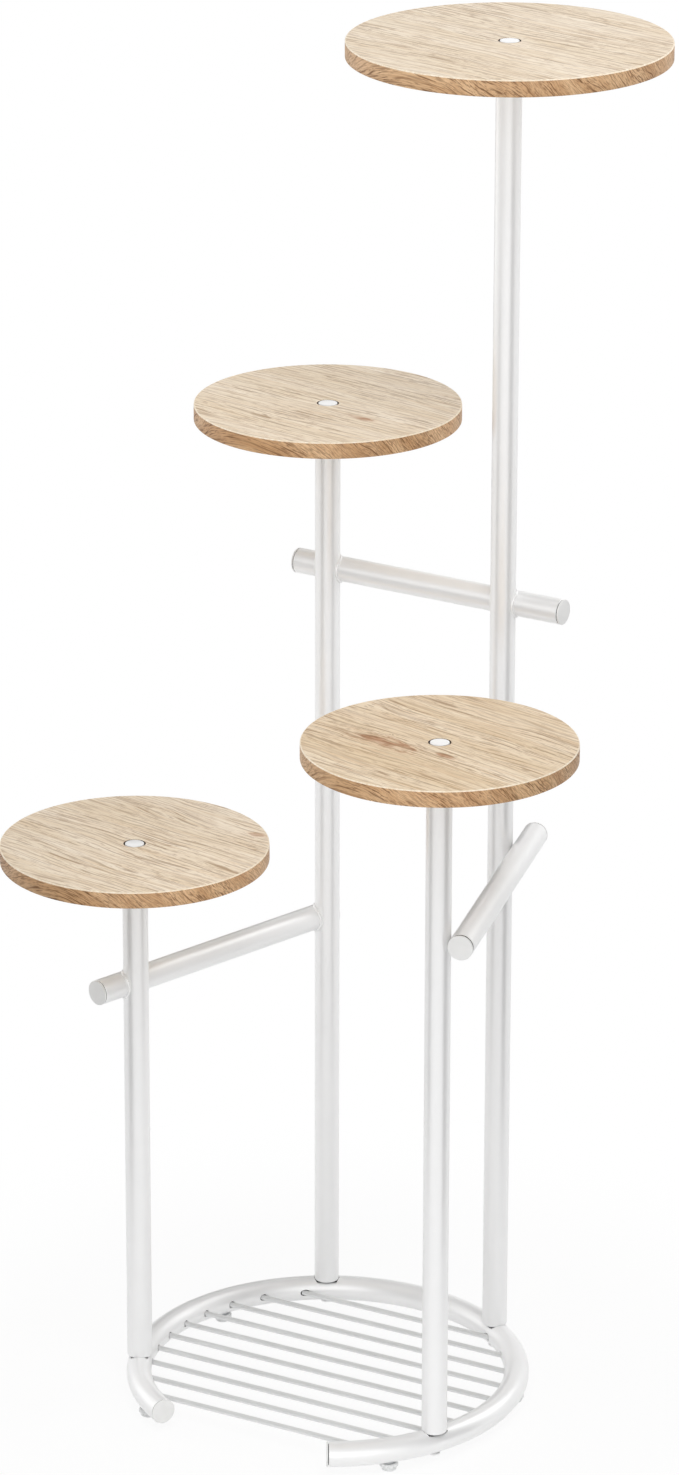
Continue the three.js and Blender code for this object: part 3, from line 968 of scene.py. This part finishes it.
def build_bar(bar):
    """Tube and two caps of a crossbar, notched where a post bites into them."""
    slack = LOOSE_CAP_GAP - CAP_GAP if bar.name == "side" else 0
    reach = TUBE_RADIUS + 2 * SEAM
    notch = (TUBE_RADIUS + SEAM, bar.height - reach, bar.height + reach, POST_SIDES)

    def line(distance):
        return bar.origin + bar.along * (bar.start + distance + slack), bar.left, Vector((0, 0, 1))

    tube = tube_mesh("bar_" + bar.name, line, bar.end - bar.start - slack, 1, TUBE_SIDES)
    pieces = [(tube, "bar_tube_" + bar.name, "crossbar_" + bar.name, white_coat, "white_coat")]
    for number, (distance, direction) in enumerate(((bar.start, -bar.along), (bar.end, bar.along)), 1):
        cap = cap_mesh(f"cap_{bar.name}_{number}", bar.origin + bar.along * distance, direction)
        node = f"crossbar_{bar.name}_cap_{number}"
        pieces.append((cap, f"bar_cap_{bar.name}_{number}", node, cap_plastic, "white_plastic"))
    for mesh, piece_name, node, material, slot in pieces:
        if abs(bar.offset) < TANGENT_OFFSET:
            mesh = cut_mesh(mesh, [drill(post, *notch) for post in bar.posts])
        place_piece(piece_name, mesh, material, node)


upper_bar = Bar("upper", "back", "tall", NOTCH_OFFSET, mm(31), mm(48))
lower_bar = Bar("lower", "left", "back", NOTCH_OFFSET, mm(33), 0)
side_bar = Bar("side", "front", "tall", -TANGENT_OFFSET, mm(12.4), mm(34))
for bar in (upper_bar, lower_bar, side_bar):
    build_bar(bar)
    print("crossbar", bar.name, "is", round((bar.end - bar.start) * 1000), "mm long")

# %% [markdown]
# ## Weld beads
# The notched bars are welded to their posts all round the joint before the stand is coated. The
# bead lies in the corner between two round tubes, so its line is the curve where they would meet.
# That curve lies on the post: for each direction round the post, the bar's round side gives the
# height. The bead is a thin round section swept along it, swelling a little where the welder
# paused.

# %% Weld beads
BEAD_RADIUS = mm(1.15)
BEAD_RIPPLE = mm(0.1)
BEAD_PITCH = mm(2.2)
BEAD_SIDES = 12
BEAD_STEPS = 150
JOINT_STEPS = 400


def joint_loop(post, bar):
    """Points of the closed curve where a bar's and a post's surfaces meet, and the ways outward."""
    radius = TUBE_RADIUS + SEAM
    widest = math.acos(max(-1, (bar.offset - radius) / radius))
    loop = []
    for i in range(JOINT_STEPS):
        sweep = 2 * math.pi * i / JOINT_STEPS
        turn = widest * math.sin(sweep)
        beside = radius * math.cos(turn) - bar.offset
        rise = math.copysign(math.sqrt(max(0, radius**2 - beside**2)), math.cos(sweep))
        outward = bar.along * math.sin(turn) + bar.left * math.cos(turn)
        loop.append((Vector((post.x, post.y, bar.height + rise)) + outward * radius, outward))
    return loop


def evenly(loop, count):
    """The same closed curve with its points at even distances, and its length."""
    lengths = [0.0]
    for (a, _), (b, _) in zip(loop, loop[1:] + loop[:1]):
        lengths.append(lengths[-1] + (b - a).length)
    picked, i = [], 0
    for step in range(count):
        goal = lengths[-1] * step / count
        while lengths[i + 1] < goal:
            i += 1
        share = (goal - lengths[i]) / (lengths[i + 1] - lengths[i])
        first, second = loop[i], loop[(i + 1) % len(loop)]
        picked.append((first[0].lerp(second[0], share), first[1].lerp(second[1], share).normalized()))
    return picked, lengths[-1]


def build_weld(name, post, bar):
    """Bead round one joint of a post and a bar; gives its length."""
    points, length = evenly(joint_loop(post, bar), BEAD_STEPS)
    ripples = round(length / BEAD_PITCH)
    sections = []
    for i, (place, outward) in enumerate(points):
        way = (points[(i + 1) % BEAD_STEPS][0] - points[i - 1][0]).normalized()
        radius = BEAD_RADIUS + BEAD_RIPPLE * math.sin(2 * math.pi * ripples * i / BEAD_STEPS)
        sections.append(round_section(place, outward, way.cross(outward), radius, BEAD_SIDES))
    place_piece(name, swept_mesh(name, sections, loop=True), white_coat)
    return length


for bar, ends in ((upper_bar, ("back", "tall")), (lower_bar, ("left", "back"))):
    for post, end in zip(bar.posts, ends):
        length = build_weld(f"weld_{bar.name}_{end}", post, bar)
        print("weld of the", bar.name, "bar to the", end, "post:", round(length * 1000), "mm")

# %% [markdown]
# ## Trays
# Each tray is a round board, 12.5 mm thick, with a shallow recess in the middle for the head of the
# bolt that holds it. It is a turned shape: the profile runs down the bolt hole, over the underside,
# round the rim and back over the top. Its faces then take the face or rim foil, the edge's painted
# highlight or the recess's painted shade from where they lie on the profile.

# %% Trays
TRAY_SIDES = 192
TRAY_ARRIS = mm(0.8)
RECESS_RADIUS = mm(8.3)
HEAD_HEIGHT = mm(2)
# places in a tray's list of materials, after its face; the edge is a painted highlight, the recess
# painted shade
RIM, EDGE, RECESS_SHADE = 1, 2, 3
FACE_STRENGTH = 0.66
RIM_STRENGTH, RIM_FINENESS = 0.9, 1.5
# the face tones are paler than the rim tones partly as painted sheen, the white room's reflection
FACE_TONES = ("#F3E6D3", "#E9D9C1", "#DAC09D", "#8E6842")
WARM_FACE_TONES = ("#EEDEC6", "#E1CCAD", "#D0B089", "#86603A")
RIM_TONES = ("#DFBB92", "#C59B70", "#AB8057", "#6E4A2A")


def build_tray(name, materials):
    """A round board with rounded edges and a recess for its bolt."""
    node = "tray_" + name
    low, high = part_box(node)
    thickness = high[2] - low[2]
    radius = (high[0] - low[0]) / 2
    recess_floor = thickness - HEAD_HEIGHT - SEAM
    profile = [(BOLT_HOLE, recess_floor), (BOLT_HOLE, 0)]
    profile += quarter(radius - TRAY_ARRIS, TRAY_ARRIS, TRAY_ARRIS, -90, 0)
    profile += quarter(radius - TRAY_ARRIS, thickness - TRAY_ARRIS, TRAY_ARRIS, 0, 90)
    profile += [(RECESS_RADIUS + SEAM, thickness), (RECESS_RADIUS, thickness - SEAM)]
    mesh = turned_mesh(node, profile + [(RECESS_RADIUS, recess_floor)], TRAY_SIDES)
    for material in materials:
        mesh.materials.append(material)
    for face in mesh.polygons:
        reach = face.center.to_2d().length
        if reach < RECESS_RADIUS:
            face.material_index = RECESS_SHADE
        elif reach > radius - TRAY_ARRIS:
            face.material_index = EDGE if face.center.z > thickness - TRAY_ARRIS else RIM
    mesh.transform(over(middle(node), low[2]))
    return place_piece("board_" + name, mesh, None, node)


# the grain's direction in degrees, the face's tones, and each knot's place along and across the
# grain, its length and its width in mm
BOARDS = {
    "tall": (-42, FACE_TONES, ()),
    "back": (-40, FACE_TONES, ((44, -14, 20, 5),)),
    "front": (-43, WARM_FACE_TONES, ((-31, -27, 44, 13), (22, -19, 14, 4))),
    "left": (-41, FACE_TONES, ((57, 74, 11, 6),)),
}
for number, (name, (degrees, tones, knots)) in enumerate(BOARDS.items()):
    grain = (middle("tray_" + name), math.radians(degrees), number * 10 + 3)
    face = oak_foil("oak_foil_face_" + name, *grain, knots, tones, FACE_STRENGTH)
    rim = oak_foil("oak_foil_rim_" + name, *grain, (), RIM_TONES, RIM_STRENGTH, RIM_FINENESS)
    board = build_tray(name, (face, rim, edge_highlight, recess_shade))
    print(board.name, "is", round(board.dimensions.x * 1000), "mm across")

# %% [markdown]
# ## Bolts
# A bolt with a flat white head holds each tray, flush in the recess. Another bolt comes up through
# the ring into the foot of each post. Its head is a low button, thinner than the solid's because
# the photograph hardly shows it, with a six-sided socket for a key. Both bolts are turned, and the
# socket is cut by a drill with six sides.

# %% Tray bolts and post bolts
SCREW_RADIUS = mm(3)
HEAD_RADIUS = mm(7.1)
BUTTON_RADIUS = mm(4.5)
BUTTON_HEIGHT = mm(1.3)
BUTTON_ROUNDING = mm(0.8)
KEY_RADIUS = mm(2.3)
KEY_DEPTH = mm(0.9)


def build_tray_bolt(name):
    """White bolt with a flat head, flush with the tray."""
    node = "tray_bolt_" + name
    bottom, top = level(node, 0), level(node, 1)
    shoulder = top - HEAD_HEIGHT
    profile = [(0, bottom), (SCREW_RADIUS, bottom), (SCREW_RADIUS, shoulder), (HEAD_RADIUS, shoulder)]
    profile += quarter(HEAD_RADIUS - SEAM, top - SEAM, SEAM, 0, 90) + [(0, top)]
    mesh = turned_mesh(node, profile, TUBE_SIDES)
    mesh.transform(over(middle(node), 0))
    place_piece("flat_bolt_" + name, mesh, bright_coat, node)


def build_post_bolt(name):
    """Button-head bolt with a six-sided socket, pointing up."""
    node = "post_bolt_" + name
    seat, top = level("base_ring", 0) - SEAM, level(node, 1)
    bottom = seat - BUTTON_HEIGHT
    flank = BUTTON_RADIUS - BUTTON_ROUNDING
    profile = [(0, bottom)] + quarter(flank, bottom + BUTTON_ROUNDING, BUTTON_ROUNDING, -90, 0, steps=6)
    profile += [(BUTTON_RADIUS, seat), (SCREW_RADIUS, seat)]
    profile += [(SCREW_RADIUS, top - SEAM), (SCREW_RADIUS - SEAM, top), (0, top)]
    mesh = turned_mesh(node, profile, TUBE_SIDES)
    mesh.transform(over(middle(node), 0))
    key = drill(middle(node), KEY_RADIUS, bottom - SEAM, bottom + KEY_DEPTH, sides=6)
    place_piece("button_bolt_" + name, cut_mesh(mesh, [key]), white_coat, node)


for name in POSTS:
    build_tray_bolt(name)
    build_post_bolt(name)
print("key sockets:", round(KEY_RADIUS * 2000 * math.cos(math.pi / 6), 1), "mm across the flats")

# %% [markdown]
# ## Levelling feet
# Five moulded feet screw into the underside of the ring. Turning the ribbed head by hand lowers or
# lifts that corner. The foot is built from level rings of points: plain circles for the pad, and a
# wavy outline for the ribbed head. The thread of the stud is the same idea, with a radius that rises
# and falls once per turn and per pitch, so its crest climbs like a screw.

# %% Levelling feet
FOOT_PAD_RADIUS = mm(5.5)
FOOT_HEAD_RADIUS = mm(7)
FOOT_HEAD_TOP, FOOT_HEAD = mm(5.7), mm(3.2)
FOOT_EDGE = mm(0.5)
FOOT_RIBS, FOOT_RIB_DEPTH = 10, mm(0.8)
FOOT_SIDES = 120
THREAD_PITCH = mm(1)
THREAD_DEPTH = mm(0.45)
THREAD_STEPS = 8


def outline(radius, hollow=0):
    """Radius of a level ring: round, or wide rounded ribs with narrow hollows between them."""
    return lambda angle, height: radius - hollow * abs(math.sin(FOOT_RIBS * angle / 2)) ** 4


def threaded(angle, height):
    """Radius of the stud: a crest that climbs one pitch a turn."""
    phase = (height / THREAD_PITCH - angle / (2 * math.pi)) % 1
    return SCREW_RADIUS - THREAD_DEPTH * abs(2 * phase - 1)


def foot_mesh(name):
    """Foot as level rings of points, closed at the bottom and the top."""
    centre, floor, top = middle(name), level(name, 0), level(name, 1)
    bottom, crown = floor + FOOT_HEAD_TOP - FOOT_HEAD, floor + FOOT_HEAD_TOP
    pad, head = outline(FOOT_PAD_RADIUS), outline(FOOT_HEAD_RADIUS, FOOT_RIB_DEPTH)
    head_edge = outline(FOOT_HEAD_RADIUS - FOOT_EDGE, FOOT_RIB_DEPTH)
    rings = [(floor, outline(FOOT_PAD_RADIUS - FOOT_EDGE))]
    rings += [(floor + FOOT_EDGE / 2, outline(FOOT_PAD_RADIUS - FOOT_EDGE / 4))]
    rings += [(floor + FOOT_EDGE, pad), (bottom, pad), (bottom, head_edge), (bottom + FOOT_EDGE, head)]
    rings += [(crown - FOOT_EDGE, head), (crown, head_edge)]
    turns = int((top - crown) / THREAD_PITCH * THREAD_STEPS)
    rings += [(crown + (top - crown) * i / turns, threaded) for i in range(turns + 1)]
    sections = []
    for height, radius in rings:
        angles = [2 * math.pi * i / FOOT_SIDES for i in range(FOOT_SIDES)]
        sections.append([on_circle(centre, radius(a, height - floor), a, height) for a in angles])
    return swept_mesh(name, sections, loop=False)


for i in FEET:
    node = f"levelling_foot_{i}"
    place_piece(f"screw_foot_{i}", foot_mesh(node), foot_plastic, node, body=f"foot_{i}")
print("feet:", len(FEET), "with", FOOT_RIBS, "ribs each")

# %% [markdown]
# ## Nuts and inserts
# The nut discs inside the posts and the threaded inserts in the ring are hidden or nearly so. Their
# solids are right as they are, so they stay and only take the zinc finish.

# %% Finish of the carried-over solids
kept = [f"{kind}_{name}" for kind in ("post_foot_nut", "post_top_nut") for name in POSTS]
kept += [f"foot_insert_{i}" for i in FEET]
for node in kept:
    for slot in frame["nodes"][node].material_slots:
        slot.material = zinc
print("carried over:", len(kept), "solids")

# %% [markdown]
# The dressed stand has to fill the same box as the solids, so the difference of the two boxes is
# printed.

# %% Sizes
low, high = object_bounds()
moved = [(a - b) * 1000 for a, b in zip([*low, *high], [*cad_low, *cad_high])]
print("visual box less the solids' box in mm:", [round(v, 2) for v in moved])
